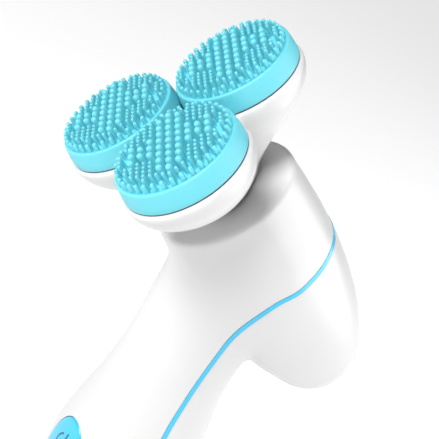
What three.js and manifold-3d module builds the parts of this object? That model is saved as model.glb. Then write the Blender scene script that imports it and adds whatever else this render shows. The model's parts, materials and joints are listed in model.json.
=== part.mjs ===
// Battery face brush: three round silicone pads on a three-armed head that turns on a tilted barrel,
// with the handle running down from the barrel's middle.
// Millimetres. +Z runs up the handle, the brush faces -Y and upwards, X is sideways.
// The origin is the centre of the flat end of the handle.
import * as THREE from 'three';
import { mergeVertices } from 'three/addons/utils/BufferGeometryUtils.js';
import Module from 'manifold-3d';

const wasm = await Module();
wasm.setup();

// ---------------------------------------------------------------- driving dimensions

const GAP = 0.3;                                  // left between neighbouring pieces
const HANDLE_WIDEST = 22.1;
const FACETS = 26;                                // sides of a large round piece
const SMALL_FACETS = 14;                          // sides of a pin, screw or bore
const TURN = Math.PI * 2;

// The head frame: its origin is on the head's axis in the plane where pads meet their bowls,
// and its +Z runs out of the brush along that axis.
const HEAD_ORIGIN = new THREE.Vector3(0, -30.8, 147.8);
const HEAD_TILT = THREE.MathUtils.degToRad(53);   // from the handle's axis

const PAD_RADIUS = 16.35;
const PAD_OFFSET = 19.06;                         // from the head's axis to a pad's axis
const PAD_ANGLE = THREE.MathUtils.degToRad(-7.92); // where the first pad stands at rest
const PAD_BAND = 5.9;                             // height of the smooth rim
const BRISTLE_TIP = 9.3;
const BRISTLE_FIELD = 14.95;                      // radius that the bristles fill

const WALL = 2.2;
const NECK_TOP = -22.5;                           // head frame
const NECK_HOLE = 6;
const CAP_HEIGHT = 6;
const CAP_RADIUS = 21.05;
const COLLAR_RADIUS = 17.6;                       // of the cap's collar, which goes up inside the handle
const SEAM_WIDTH = 1.3;

const SHAFT_RADIUS = 2;
const SLEEVE_RADIUS = 4.2;
const HUB_BOTTOM = -21.9;
const HUB_RADIUS = 9.2;
const BOWL_WALL = 1.8;
const RUNNING = 0.3;                              // clearance of a turning shaft in these solids

const SUN_TEETH = 16;
const PLANET_TEETH = 30;
const HEAD_GEAR_TOP = -2.2;
const HEAD_GEAR_BOTTOM = -4.2;
const HEAD_MODULE = 2 * PAD_OFFSET / (SUN_TEETH + PLANET_TEETH);

const WHEEL_TEETH = 26;                           // both stages of the gearbox are alike
const PINION_TEETH = 10;
const TRAIN_MODULE = 0.5;
const IDLER_OFFSET = TRAIN_MODULE * (WHEEL_TEETH + PINION_TEETH) / 2;
const IDLER_ANGLE = 0;                            // bearing of the idler from the shaft

const COVER_TOP = -0.9;
const COVER_THICKNESS = 1;
const COVER_RADIUS = 10.6;
const COVER_LOBE_RADIUS = 14.6;
const COVER_SCREW_OFFSET = 9.6;
const COVER_SCREW_PILOT = 0.95;

const PLATE_RADIUS = 18;
const PLATE_THICKNESS = 2;
const SLEEVE_SCREW_X = 7.5;
const UPPER_PLATE_TOP = -31;
const LOWER_PLATE_TOP = -42.5;
const PILLAR_OFFSET = 14.8;
const MOTOR_RADIUS = 8;
const MOTOR_TOP = -45;
const MOTOR_BOTTOM = -66;

const GRIP_TURN = THREE.MathUtils.degToRad(17.3);  // the button and the parts behind it, round from the front
const BUTTON_CENTRE_Z = 34.6;
const BUTTON_HALF_WIDTH = 9;
const BUTTON_HALF_LENGTH = 14;
const BUTTON_PROUD = 0.35;
const BUTTON_CLEARANCE = 0.4;
const BUTTON_FLANGE = 1.2;                        // width and thickness of the rim behind the shell
const BUTTON_FLANGE_BACK = -15.4;

const CELL_RADIUS = 7.1;
const CELL_LENGTH = 50;
const CELL_X = 7.4;
const CELL_Y = 3;
const CELL_BOTTOM = 7.5;
const BOARD_FRONT = -12.4;
const BOARD_THICKNESS = 1.4;
const BOARD_HALF_WIDTH = 9;
const BOARD_BOTTOM = 18;
const BOARD_TOP = 60;
const BOARD_SCREW_HEIGHTS = [21, 56];
const TRAY_FRONT = -6;
const TRAY_WALL = 1.5;
const PILOT_RADIUS = 1.1;                         // hole that a small screw passes through

const FAR = 300;                                  // beyond the whole object

// ---------------------------------------------------------------- materials

const finish = (color, roughness, metalness = 0) => () =>
  new THREE.MeshStandardMaterial({ color, roughness, metalness });

const whitePlastic = finish(0xf6f7f8, 0.18);
const turquoisePlastic = finish(0x4ccdf2, 0.3);
const silicone = finish(0x86dcee, 0.55);
const greyPlastic = finish(0xc9cdd0, 0.5);
const darkPlastic = finish(0x33363a, 0.5);
const gearPlastic = finish(0xe9e4d4, 0.4);
const blackRubber = finish(0x1d1f21, 0.7);
const steel = finish(0xb9bdc1, 0.3, 1);
const brass = finish(0xc9a45c, 0.35, 1);
const batteryWrap = finish(0x3a5f8f, 0.35, 0.4);
const boardGreen = finish(0x1f6b43, 0.5);
const leadRed = finish(0xb92a24, 0.5);
const leadBlack = finish(0x202020, 0.5);

// ---------------------------------------------------------------- solids

// A closed three.js geometry becomes a solid: shared corners are merged, folded triangles dropped,
// and the faces turned outwards.
function solid(geometry) {
  const bare = geometry.clone();
  bare.deleteAttribute('normal');
  bare.deleteAttribute('uv');
  const merged = mergeVertices(bare, 1e-4);
  const vertProperties = new Float32Array(merged.attributes.position.array);
  const corner = (index) => new THREE.Vector3().fromArray(vertProperties, index * 3);
  const triangles = [];
  let volume = 0;
  for (let i = 0; i < merged.index.count; i += 3) {
    const [a, b, c] = [0, 1, 2].map((k) => merged.index.getX(i + k));
    if (a !== b && b !== c && c !== a) {
      triangles.push([a, b, c]);
      volume += corner(a).dot(corner(b).cross(corner(c)));
    }
  }
  const outward = volume > 0 ? triangles : triangles.map(([a, b, c]) => [a, c, b]);
  const triVerts = new Uint32Array(outward.flat());
  return new wasm.Manifold(new wasm.Mesh({ numProp: 3, vertProperties, triVerts }));
}

// A solid that is moved by a matrix.
function moved(shape, matrix) {
  return shape.transform(matrix.toArray());
}

const shift = (x, y, z) => new THREE.Matrix4().makeTranslation(x, y, z);

// Lays a solid's Z along -Y, at a height.
const alongY = (height) => shift(0, 0, height).multiply(new THREE.Matrix4().makeRotationX(Math.PI / 2));

// Revolves [radius, height] points about Z.
function turned(points, facets = FACETS) {
  const profile = points.map(([radius, height]) => new THREE.Vector2(radius, height));
  return solid(new THREE.LatheGeometry(profile, facets).rotateX(Math.PI / 2));
}

function rod(radius, bottom, top, facets = SMALL_FACETS) {
  return turned([[0, bottom], [radius, bottom], [radius, top], [0, top]], facets);
}

function ring(inner, outer, bottom, top, facets = FACETS) {
  return turned([[inner, bottom], [outer, bottom], [outer, top], [inner, top], [inner, bottom]], facets);
}

function block(x, y, z) {
  const size = [x, y, z].map(([low, high]) => high - low);
  const centre = [x, y, z].map(([low, high]) => (low + high) / 2);
  return solid(new THREE.BoxGeometry(...size).translate(...centre));
}

// Extrudes a closed outline of [x, y] points from one height to another.
function extruded(points, bottom, top) {
  const shape = new THREE.Shape(points.map(([x, y]) => new THREE.Vector2(x, y)));
  const geometry = new THREE.ExtrudeGeometry(shape, { depth: top - bottom, bevelEnabled: false });
  return solid(geometry.translate(0, 0, bottom));
}

// A round tube along a curve through points given in order.
function tube(points, radius, steps, sides) {
  const path = new THREE.CatmullRomCurve3(points);
  const section = new THREE.Shape();
  section.absarc(0, 0, radius, 0, TURN);
  const settings = { extrudePath: path, steps, curveSegments: sides / 2, bevelEnabled: false };
  return solid(new THREE.ExtrudeGeometry(section, settings));
}

const united = (shapes) => shapes.reduce((whole, shape) => whole.add(shape));

// A lathe profile through outline points, moved inwards by inset along its normals.
function smoothProfile(points, samples, inset) {
  const curve = new THREE.SplineCurve(points.map(([radius, height]) => new THREE.Vector2(radius, height)));
  return Array.from({ length: samples + 1 }, (_, i) => {
    const point = curve.getPoint(i / samples);
    const tangent = curve.getTangent(i / samples);
    return [point.x + tangent.y * inset, point.y - tangent.x * inset];
  });
}

// Shears a solid: move(z) gives how far a point at that height shifts along Y.
function sheared(shape, move) {
  return shape.warp((vertex) => {
    vertex[1] += move(vertex[2]);
  });
}

// ---------------------------------------------------------------- placing

const group = new THREE.Group();
const head = new THREE.Group();
head.position.copy(HEAD_ORIGIN);
head.rotation.x = HEAD_TILT;
group.add(head);
head.updateMatrixWorld(true);

// The grip's own frame: turned about Z, so that its -Y faces the way the button does.
const grip = new THREE.Group();
grip.rotation.z = GRIP_TURN;
group.add(grip);
grip.updateMatrixWorld(true);

function add(parent, name, shape, material) {
  const data = shape.getMesh();
  const geometry = new THREE.BufferGeometry();
  geometry.setAttribute('position', new THREE.BufferAttribute(new Float32Array(data.vertProperties), 3));
  geometry.setIndex(new THREE.BufferAttribute(new Uint32Array(data.triVerts), 1));
  geometry.computeVertexNormals();
  const mesh = new THREE.Mesh(geometry, material());
  mesh.name = name;
  parent.add(mesh);
}

// A head-frame point in the upright frame, as [y, z].
function headPoint(y, z) {
  const point = new THREE.Vector3(0, y, z).applyMatrix4(head.matrixWorld);
  return [point.y, point.z];
}

// ---------------------------------------------------------------- gears

// A spur gear: straight-flanked teeth, thinner than their spaces, with a tooth centred on phase.
function gear(teeth, module, bottom, top, bore, phase) {
  const pitchRadius = teeth * module / 2;
  const tip = pitchRadius + 0.85 * module;
  const root = pitchRadius - 1.15 * module;
  const step = TURN / teeth;
  const corners = [[root, -0.27], [tip, -0.13], [tip, 0.13], [root, 0.27]];
  const outline = [];
  for (let tooth = 0; tooth < teeth; tooth += 1) {
    for (const [radius, part] of corners) {
      const angle = phase + (tooth + part) * step;
      outline.push([radius * Math.cos(angle), radius * Math.sin(angle)]);
    }
  }
  return extruded(outline, bottom, top).subtract(rod(bore, bottom - 1, top + 1));
}

// The phase of a gear that meshes with another one, seen from that one at the given bearing.
function meshingPhase(otherTeeth, otherPhase, teeth, bearing) {
  const place = (bearing - otherPhase) / (TURN / otherTeeth);
  return bearing + Math.PI - (0.5 - place) * (TURN / teeth);
}

// ---------------------------------------------------------------- the two shells and the trim strip

// The barrel, neck to heel, as [radius, height] in the head frame. It leans slightly to the handle.
const BARREL_OUTLINE = [
  [18.6, NECK_TOP], [20.0, -23.4], [20.4, -25.2], [21.1, -34], [21.6, -43], [21.7, -52],
  [20.9, -62], [19.3, -72], [16.8, -82], [13.0, -91], [7.4, -97.6], [0, -99.9],
];
const BARREL_LEAN = 0.021;

// The handle, end to barrel, as [radius, height]. The grip swells to the front round the button,
// and the handle bends back slightly where it joins the barrel.
const HANDLE_OUTLINE = [
  [CAP_RADIUS, CAP_HEIGHT + GAP], [21.8, 21], [HANDLE_WIDEST, 34], [21.1, 46], [19.2, 58], [17.8, 68],
  [17.0, 79], [17.4, 95], [19.2, 118],
];
const GRIP_MIDDLE = 34;
const GRIP_HALF_LENGTH = 28;
const GRIP_BULGE = 1.3;
const HANDLE_BEND_START = 66;
const HANDLE_BEND = 0.00125;

function handleAxisY(z) {
  const share = THREE.MathUtils.clamp((z - GRIP_MIDDLE) / GRIP_HALF_LENGTH, -1, 1);
  const bulge = GRIP_BULGE * Math.cos(share * Math.PI / 2) ** 2;
  return HANDLE_BEND * Math.max(0, z - HANDLE_BEND_START) ** 2 - bulge;
}

function barrel(inset) {
  const outline = smoothProfile(BARREL_OUTLINE, 16, inset).filter(([, height]) => height <= NECK_TOP - inset);
  const side = outline.filter(([radius]) => radius > 1);
  const tip = BARREL_OUTLINE[BARREL_OUTLINE.length - 1][1] + inset;
  const shape = turned([[0, NECK_TOP - inset], [side[0][0], NECK_TOP - inset], ...side.slice(1), [0, tip]]);
  return moved(sheared(shape, (z) => BARREL_LEAN * (z - NECK_TOP)), head.matrixWorld);
}

function handle(inset, drop) {
  const side = smoothProfile(HANDLE_OUTLINE, 10, -inset);
  const [endRadius, end] = side[0];
  const top = side[side.length - 1][1];
  const shape = turned([[0, end - drop], [endRadius, end - drop], ...side.slice(1), [0, top]]);
  return sheared(shape, handleAxisY);
}

// The seam between the shells, in the Y-Z plane: up the middle of the handle's side,
// then in an S to a plane square to the barrel's axis.
const SEAM_HEIGHT = -48.1;
const SEAM_START = -20;                           // below the handle's end
const seam = new THREE.SplineCurve([
  [0, SEAM_START], [0, 30], [0.1, 60], [1.1, 76], [2.0, 92], [3.2, 107.5], [6.4, 117.8], [10.9, 123.0],
  headPoint(12, SEAM_HEIGHT), headPoint(28, SEAM_HEIGHT), headPoint(45, SEAM_HEIGHT),
].map(([y, z]) => new THREE.Vector2(y, z)));

// The seam moved sideways, towards the front for a positive distance.
function seamLine(distance) {
  const steps = 26;
  return Array.from({ length: steps + 1 }, (_, i) => {
    const point = seam.getPoint(i / steps);
    const tangent = seam.getTangent(i / steps);
    return [point.x - tangent.y * distance, point.y + tangent.x * distance];
  });
}

// A slab of the Y-Z plane, given as [y, z] points, that runs right through the body along X.
function slab(points) {
  const turnedToX = new THREE.Matrix4().makeBasis(
    new THREE.Vector3(0, 1, 0), new THREE.Vector3(0, 0, 1), new THREE.Vector3(1, 0, 0));
  return moved(extruded(points, -FAR, FAR), turnedToX);
}

// An oval prism along the grip's Y for the button and its hole.
function oval(grow, front, back) {
  const shape = new THREE.Shape();
  shape.absellipse(0, 0, BUTTON_HALF_WIDTH + grow, BUTTON_HALF_LENGTH + grow, 0, TURN);
  const points = shape.getPoints(28).slice(0, -1).map(({ x, y }) => [x, y]);
  const place = alongY(BUTTON_CENTRE_Z).premultiply(grip.matrixWorld);
  return moved(extruded(points, -back, -front), place);
}

function addShells() {
  const skin = united([barrel(0), handle(0, 0)]);
  const hollow = united([barrel(WALL), handle(WALL, 3)]);
  const wall = skin.subtract(hollow);
  const clear = SEAM_WIDTH / 2 + GAP;
  const frontEdge = seamLine(clear);
  const backEdge = seamLine(-clear);
  const frontSlab = slab([...frontEdge, [frontEdge.at(-1)[0], FAR], [-FAR, FAR], [-FAR, SEAM_START]]);
  const backSlab = slab([...backEdge, [FAR, backEdge.at(-1)[1]], [FAR, SEAM_START]]);
  const stripSlab = slab([...seamLine(SEAM_WIDTH / 2), ...seamLine(-SEAM_WIDTH / 2).reverse()]);
  const neckHoles = [rod(NECK_HOLE, NECK_TOP - 5, NECK_TOP + 1)];
  for (const side of [-1, 1]) {
    const blindHole = rod(PILOT_RADIUS, NECK_TOP - 5, NECK_TOP - 0.8);
    neckHoles.push(moved(blindHole, shift(side * SLEEVE_SCREW_X, 0, 0)));
  }
  const front = wall.intersect(frontSlab)
    .subtract(moved(united(neckHoles), head.matrixWorld))
    .subtract(oval(BUTTON_CLEARANCE, -HANDLE_WIDEST - 5, BUTTON_FLANGE_BACK));
  add(group, 'front_shell', front, whitePlastic);
  add(group, 'rear_shell', wall.intersect(backSlab), whitePlastic);
  add(group, 'trim_strip', wall.intersect(stripSlab), turquoisePlastic);
}

// ---------------------------------------------------------------- the turning head

// One bowl of the carrier, from its rim down to the hub: [height, axis offset, radius].
const BOWL_SECTIONS = [
  [0, PAD_OFFSET, 16.9], [-2.2, 19.0, 16.85], [-5, 18.7, 16.0], [-8, 17.9, 14.2], [-11.5, 16.0, 11.4],
  [-15, 12.7, 8.5], [-18, 9, 6.9], [-20.5, 5.8, 6.1],
];

const lobeAngle = (index) => PAD_ANGLE + index * TURN / 3;
const atLobe = (index) => new THREE.Matrix4().makeRotationZ(lobeAngle(index));
const betweenLobes = (index) => new THREE.Matrix4().makeRotationZ(lobeAngle(index) + TURN / 6);
const threefold = (shape, turnTo) => united([0, 1, 2].map((index) => moved(shape, turnTo(index))));

// A stack of circles whose centres move inwards as it goes down.
function bowl(inset, floor) {
  const sections = BOWL_SECTIONS.filter(([height]) => height >= floor);
  const profile = sections.map(([height, , radius]) => [Math.max(radius - inset, 0.5), height]);
  const top = inset > 0 ? 1 : 0;
  profile[0] = [profile[0][0], top];
  const shape = turned([[0, top], ...profile, [0, sections.at(-1)[0]]], 22);
  const heights = sections.map(([height]) => height).reverse();
  const offsets = sections.map(([, offset]) => offset).reverse();
  return shape.warp((vertex) => {
    const above = Math.max(1, heights.findIndex((height) => height >= vertex[2]));
    const low = above === 0 || vertex[2] > heights.at(-1) ? heights.length - 2 : above - 1;
    const part = (vertex[2] - heights[low]) / (heights[low + 1] - heights[low]);
    vertex[0] += offsets[low] + Math.min(part, 1) * (offsets[low + 1] - offsets[low]);
  });
}

function addHead() {
  const bearingTop = HEAD_GEAR_BOTTOM - 0.8;
  const ledge = COVER_TOP - COVER_THICKNESS - 0.1;
  const above = 1;
  const hub = turned([
    [0, HUB_BOTTOM], [HUB_RADIUS, HUB_BOTTOM], [HUB_RADIUS + 0.4, -20], [HUB_RADIUS + 0.6, -12],
    [HUB_RADIUS + 2, -6], [HUB_RADIUS + 2, 0], [0, 0],
  ]);
  const tubeWall = rod(SLEEVE_RADIUS + 2.6, HUB_BOTTOM - 0.1, bearingTop, 20);
  const outside = threefold(bowl(0, HUB_BOTTOM), atLobe).add(hub);
  const hollow = threefold(bowl(BOWL_WALL, -14), atLobe).subtract(tubeWall)
    .add(rod(8.3, bearingTop, above, FACETS))
    .add(rod(COVER_RADIUS + GAP, ledge, above, FACETS));
  const post = moved(rod(4, -13.5, bearingTop), shift(PAD_OFFSET, 0, 0));
  const postBore = moved(rod(SHAFT_RADIUS + RUNNING, -9.4, 0), shift(PAD_OFFSET, 0, 0));
  const screwHole = moved(rod(COVER_SCREW_PILOT, -7, 0), shift(COVER_SCREW_OFFSET, 0, 0));
  const sealRoom = rod(7.8, HUB_BOTTOM - 1, HUB_BOTTOM + 1.3, 20);
  const carrier = outside.subtract(hollow)
    .add(threefold(post, atLobe))
    .subtract(threefold(postBore, atLobe))
    .subtract(threefold(screwHole, betweenLobes))
    .subtract(rod(SLEEVE_RADIUS + 0.6, HUB_BOTTOM - 1, above))
    .subtract(sealRoom);
  add(head, 'head_carrier', carrier, whitePlastic);

  const coverBottom = COVER_TOP - COVER_THICKNESS;
  const below = coverBottom - above;
  const disc = moved(rod(COVER_LOBE_RADIUS, coverBottom, COVER_TOP, FACETS), shift(PAD_OFFSET, 0, 0));
  const spindleHole = moved(rod(SHAFT_RADIUS + 0.6, below, above), shift(PAD_OFFSET, 0, 0));
  const seat = rod(COVER_SCREW_PILOT, below, above).add(rod(1.6, -1.5, above));
  const screwSeat = moved(seat, shift(COVER_SCREW_OFFSET, 0, 0));
  const cover = threefold(disc, atLobe)
    .add(rod(COVER_RADIUS, coverBottom, COVER_TOP, FACETS))
    .subtract(threefold(spindleHole, atLobe))
    .subtract(threefold(screwSeat, betweenLobes))
    .subtract(rod(SHAFT_RADIUS + GAP, below, above));
  add(head, 'carrier_cover', cover, greyPlastic);
  for (const index of [0, 1, 2]) {
    const screw = rod(0.65, -6.5, -1.2, 8).add(rod(1.3, -1.2, -0.7, 10));
    const place = betweenLobes(index).multiply(shift(COVER_SCREW_OFFSET, 0, 0));
    add(head, `cover_screw_${index + 1}`, moved(screw, place), steel);
  }

  const shaftBottom = UPPER_PLATE_TOP - 6.4;
  const shaft = rod(SHAFT_RADIUS, shaftBottom, COVER_TOP).subtract(rod(1.2, -7.5, 1, 10));
  add(head, 'output_shaft', shaft, steel);
  add(head, 'centre_screw', rod(0.9, -7, -0.2, 10).add(rod(3.2, COVER_TOP + GAP, 0, 16)), steel);
}

function addPad(index) {
  const number = index + 1;
  const place = atLobe(index).multiply(shift(PAD_OFFSET, 0, 0));
  const pad = turned([
    [0, 3], [14, 3], [14, GAP], [PAD_RADIUS - 0.1, GAP], [PAD_RADIUS, 1.4], [PAD_RADIUS - 0.5, PAD_BAND - 0.7],
    [PAD_RADIUS - 1.1, PAD_BAND], [BRISTLE_FIELD, PAD_BAND], [BRISTLE_FIELD, BRISTLE_TIP - 0.6],
    [BRISTLE_FIELD - 0.9, BRISTLE_TIP], [0, BRISTLE_TIP],
  ]);
  add(head, `brush_pad_${number}`, moved(pad, place), silicone);

  const plateBottom = COVER_TOP + 0.4;
  const plate = turned([
    [0, -9], [SHAFT_RADIUS, -9], [SHAFT_RADIUS, plateBottom], [13.7, plateBottom], [13.7, 3 - GAP], [0, 3 - GAP],
  ], 26);
  add(head, `pad_plate_${number}`, moved(plate, place), greyPlastic);

  const bearing = lobeAngle(index);
  const phase = meshingPhase(SUN_TEETH, 0, PLANET_TEETH, bearing);
  const wheel = gear(PLANET_TEETH, HEAD_MODULE, HEAD_GEAR_BOTTOM, HEAD_GEAR_TOP, SHAFT_RADIUS + GAP, phase);
  const centre = shift(PAD_OFFSET * Math.cos(bearing), PAD_OFFSET * Math.sin(bearing), 0);
  add(head, `planet_gear_${number}`, moved(wheel, centre), gearPlastic);
}

// ---------------------------------------------------------------- the drive in the barrel

// The fixed gear that the pads' gears roll around, on the sleeve that the shaft runs in.
function addSunGear() {
  const flangeTop = NECK_TOP - 2.9;
  const flangeBottom = flangeTop - 2.2;
  const teeth = gear(SUN_TEETH, HEAD_MODULE, HEAD_GEAR_BOTTOM, HEAD_GEAR_TOP, SHAFT_RADIUS + 0.5, 0);
  const sleeve = ring(SHAFT_RADIUS + 0.5, SLEEVE_RADIUS, flangeBottom - 2, HEAD_GEAR_BOTTOM + 0.5, 20);
  const flange = ring(SHAFT_RADIUS + 1, 9.5, flangeBottom, flangeTop, 24);
  let sun = teeth.add(sleeve).add(flange);
  for (const [number, side] of [[1, -1], [2, 1]]) {
    const place = shift(side * SLEEVE_SCREW_X, 0, 0);
    sun = sun.subtract(moved(rod(1.1, flangeBottom - 1, flangeTop + 1, 10), place));
    const screw = rod(0.75, flangeBottom - GAP, NECK_TOP - 1.1, 8)
      .add(rod(1.6, flangeBottom - 1.6, flangeBottom - GAP, 10));
    add(head, `sleeve_screw_${number}`, moved(screw, place), steel);
  }
  add(head, 'sun_gear', sun, gearPlastic);
  add(head, 'neck_seal', ring(SLEEVE_RADIUS + 0.4, 7.4, NECK_TOP + GAP, NECK_TOP + 1.5, 20), blackRubber);
}

function addGearbox() {
  const idlerPlace = shift(IDLER_OFFSET * Math.cos(IDLER_ANGLE), IDLER_OFFSET * Math.sin(IDLER_ANGLE), 0);
  const axleHole = moved(rod(1.2, -60, 0), idlerPlace);
  const upperBottom = UPPER_PLATE_TOP - PLATE_THICKNESS;
  const lowerBottom = LOWER_PLATE_TOP - PLATE_THICKNESS;
  let upper = ring(3.9, PLATE_RADIUS, upperBottom, UPPER_PLATE_TOP, 26).subtract(axleHole);
  let lower = ring(3.3, PLATE_RADIUS, lowerBottom, LOWER_PLATE_TOP, 26).subtract(axleHole);
  for (const index of [0, 1, 2]) {
    const turnTo = new THREE.Matrix4().makeRotationZ(TURN / 6 + index * TURN / 3);
    const place = turnTo.multiply(shift(PILLAR_OFFSET, 0, 0));
    const hole = moved(rod(1.2, upperBottom - 7, 0, 10), place);
    const pillar = moved(rod(2.6, LOWER_PLATE_TOP - 0.5, upperBottom - GAP), place);
    lower = lower.add(pillar).subtract(hole);
    upper = upper.subtract(hole);
    const screw = rod(0.9, upperBottom - 6, UPPER_PLATE_TOP + GAP, 8)
      .add(rod(1.8, UPPER_PLATE_TOP + GAP, UPPER_PLATE_TOP + 1.5, 10));
    add(head, `gearbox_screw_${index + 1}`, moved(screw, place), steel);
  }
  add(head, 'gearbox_upper_plate', upper, greyPlastic);
  add(head, 'gearbox_lower_plate', lower, greyPlastic);
  const bush = ring(SHAFT_RADIUS + RUNNING, 3.6, upperBottom - 0.2, UPPER_PLATE_TOP + 0.2, 18);
  add(head, 'shaft_bush', bush, brass);
  add(head, 'idler_axle', moved(rod(0.9, lowerBottom + 0.2, UPPER_PLATE_TOP - 0.2), idlerPlace), steel);

  // Two equal stages: output wheel and idler pinion above, idler wheel and motor pinion below.
  const outputTop = upperBottom - 1;
  const outputBottom = outputTop - 3;
  const wheelTop = outputBottom - 1;
  const wheelBottom = wheelTop - 2.8;
  const output = gear(WHEEL_TEETH, TRAIN_MODULE, outputBottom, outputTop, SHAFT_RADIUS + GAP, 0);
  add(head, 'output_gear', output, gearPlastic);

  const pinionPhase = meshingPhase(WHEEL_TEETH, 0, PINION_TEETH, IDLER_ANGLE);
  const idler = gear(PINION_TEETH, TRAIN_MODULE, wheelTop - 0.5, outputTop, 1.2, pinionPhase)
    .add(gear(WHEEL_TEETH, TRAIN_MODULE, wheelBottom, wheelTop, 1.2, 0));
  add(head, 'idler_gear', moved(idler, idlerPlace), gearPlastic);

  const motorPhase = meshingPhase(WHEEL_TEETH, 0, PINION_TEETH, IDLER_ANGLE + Math.PI);
  const pinion = gear(PINION_TEETH, TRAIN_MODULE, wheelBottom - 0.2, wheelTop - GAP, 0.8, motorPhase)
    .add(rod(1, MOTOR_TOP - 5, wheelTop - GAP, 12));
  add(head, 'motor_pinion', pinion, brass);
}

function addMotor() {
  const noseTop = MOTOR_TOP + 1.4;
  const motor = turned([
    [0, MOTOR_BOTTOM - 1.8], [2.4, MOTOR_BOTTOM - 1.8], [2.4, MOTOR_BOTTOM], [MOTOR_RADIUS, MOTOR_BOTTOM],
    [MOTOR_RADIUS, MOTOR_TOP], [3, MOTOR_TOP], [3, noseTop], [1.3, noseTop], [1.3, MOTOR_TOP - 6],
    [0, MOTOR_TOP - 6],
  ], 24);
  add(head, 'motor', motor, steel);
  const top = MOTOR_TOP - 9;
  const bottom = top - 6;
  const clampReach = 17.6;
  let clamp = ring(MOTOR_RADIUS + GAP, MOTOR_RADIUS + 2.6, bottom, top, 24);
  for (const index of [0, 1, 2]) {
    const turnTo = new THREE.Matrix4().makeRotationZ(TURN / 4 + index * TURN / 3);
    const arm = block([MOTOR_RADIUS + 1.6, clampReach], [-2, 2], [bottom, top]);
    clamp = clamp.add(moved(arm, turnTo));
  }
  add(head, 'motor_clamp', clamp, darkPlastic);
}

// ---------------------------------------------------------------- the handle's insides

function addBatteries() {
  for (const [number, side] of [[1, -1], [2, 1]]) {
    const top = CELL_BOTTOM + CELL_LENGTH;
    const cell = turned([
      [0, CELL_BOTTOM], [CELL_RADIUS - 0.5, CELL_BOTTOM], [CELL_RADIUS, CELL_BOTTOM + 0.5],
      [CELL_RADIUS, top - 2], [CELL_RADIUS - 0.5, top - 1.4], [2.7, top - 1.4], [2.7, top], [0, top],
    ], 20);
    add(grip, `battery_cell_${number}`, moved(cell, shift(side * CELL_X, CELL_Y, 0)), batteryWrap);

    const turns = 3;
    const steps = 24;
    const wide = 3.6;
    const narrow = 2.4;
    const coil = Array.from({ length: steps + 1 }, (_, i) => {
      const angle = turns * TURN * i / steps;
      const radius = narrow + (wide - narrow) * i / steps;
      const height = top + 0.75 + 2.6 * i / steps;
      const [x, y] = [radius * Math.cos(angle), radius * Math.sin(angle)];
      return new THREE.Vector3(side * CELL_X + x, CELL_Y + y, height);
    });
    add(grip, `contact_spring_${number}`, tube(coil, 0.35, steps, 6), steel);
  }
  const plateBottom = CELL_BOTTOM + CELL_LENGTH + 4;
  add(grip, 'contact_plate_upper', block([-11.5, 11.5], [-2, 7.5], [plateBottom, plateBottom + 0.6]), steel);
  add(grip, 'contact_plate_lower', block([-11.5, 11.5], [-1, 7], [CELL_BOTTOM - 1.1, CELL_BOTTOM - 0.5]), steel);

  const wallBack = TRAY_FRONT + TRAY_WALL;
  const outline = [
    [-15.6, 1], [-15, TRAY_FRONT], [15, TRAY_FRONT], [15.6, 1], [14.8, 1], [14.2, wallBack], [-14.2, wallBack],
    [-14.8, 1],
  ];
  const endWall = plateBottom + 1;
  let tray = extruded(outline, 12.6, 58)
    .add(block([-12.5, 12.5], [TRAY_FRONT, wallBack], [57, endWall + TRAY_WALL]))
    .add(block([-12.5, 12.5], [TRAY_FRONT, 8], [endWall, endWall + TRAY_WALL]));
  let board = block([-BOARD_HALF_WIDTH, BOARD_HALF_WIDTH], [BOARD_FRONT, BOARD_FRONT + BOARD_THICKNESS],
    [BOARD_BOTTOM, BOARD_TOP]);
  // The posts, their holes and the screws are rods along Y, so their heights are distances to the front.
  const trayFace = -TRAY_FRONT;
  const boardFace = -BOARD_FRONT;
  const boardBack = boardFace - BOARD_THICKNESS;
  BOARD_SCREW_HEIGHTS.forEach((height, index) => {
    const place = alongY(height);
    const screwHole = moved(rod(PILOT_RADIUS, trayFace + 0.6, boardFace + 5, 10), place);
    tray = tray.add(moved(rod(2 * PILOT_RADIUS, trayFace - 0.5, boardBack - GAP), place)).subtract(screwHole);
    const screw = rod(0.8, trayFace + 1, boardFace + GAP, 8)
      .add(rod(1.6, boardFace + GAP, boardFace + 1.5, 10));
    add(grip, `board_screw_${index + 1}`, moved(screw, place), steel);
    board = board.subtract(screwHole);
  });
  add(grip, 'battery_tray', tray, darkPlastic);
  add(grip, 'circuit_board', board, boardGreen);
}

function addControls() {
  const bodyFront = BOARD_FRONT - 1.6;
  const half = 3;
  const body = block([-half, half], [bodyFront, BOARD_FRONT - GAP],
    [BUTTON_CENTRE_Z - half, BUTTON_CENTRE_Z + half]);
  const plunger = moved(rod(1.6, -bodyFront - 0.3, -bodyFront + 0.3, 12), alongY(BUTTON_CENTRE_Z));
  add(grip, 'tactile_switch', body.add(plunger), darkPlastic);

  const face = oval(0, -HANDLE_WIDEST - 5, BUTTON_FLANGE_BACK - BUTTON_FLANGE / 2);
  const button = face.intersect(handle(-BUTTON_PROUD, 0))
    .add(oval(BUTTON_FLANGE, BUTTON_FLANGE_BACK - BUTTON_FLANGE, BUTTON_FLANGE_BACK));
  add(group, 'power_button', button, turquoisePlastic);
}

function addLeads() {
  for (const [name, side, material] of [['red', 1, leadRed], ['black', -1, leadBlack]]) {
    const tail = (x, z) => new THREE.Vector3(x, 0, z).applyMatrix4(head.matrixWorld);
    const fromBoard = [[-9, 54], [-8.6, 66], [-3, 81]]
      .map(([y, z]) => new THREE.Vector3(side * 4, y, z).applyMatrix4(grip.matrixWorld));
    const route = [
      ...fromBoard,
      new THREE.Vector3(side * 4.5, 7, 91), new THREE.Vector3(side * 5, 20, 94.5), tail(side * 5, -73),
      tail(side * 5, MOTOR_BOTTOM - 0.5),
    ];
    add(group, `motor_lead_${name}`, tube(route, 0.65, 14, 6), material);
  }
}

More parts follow.
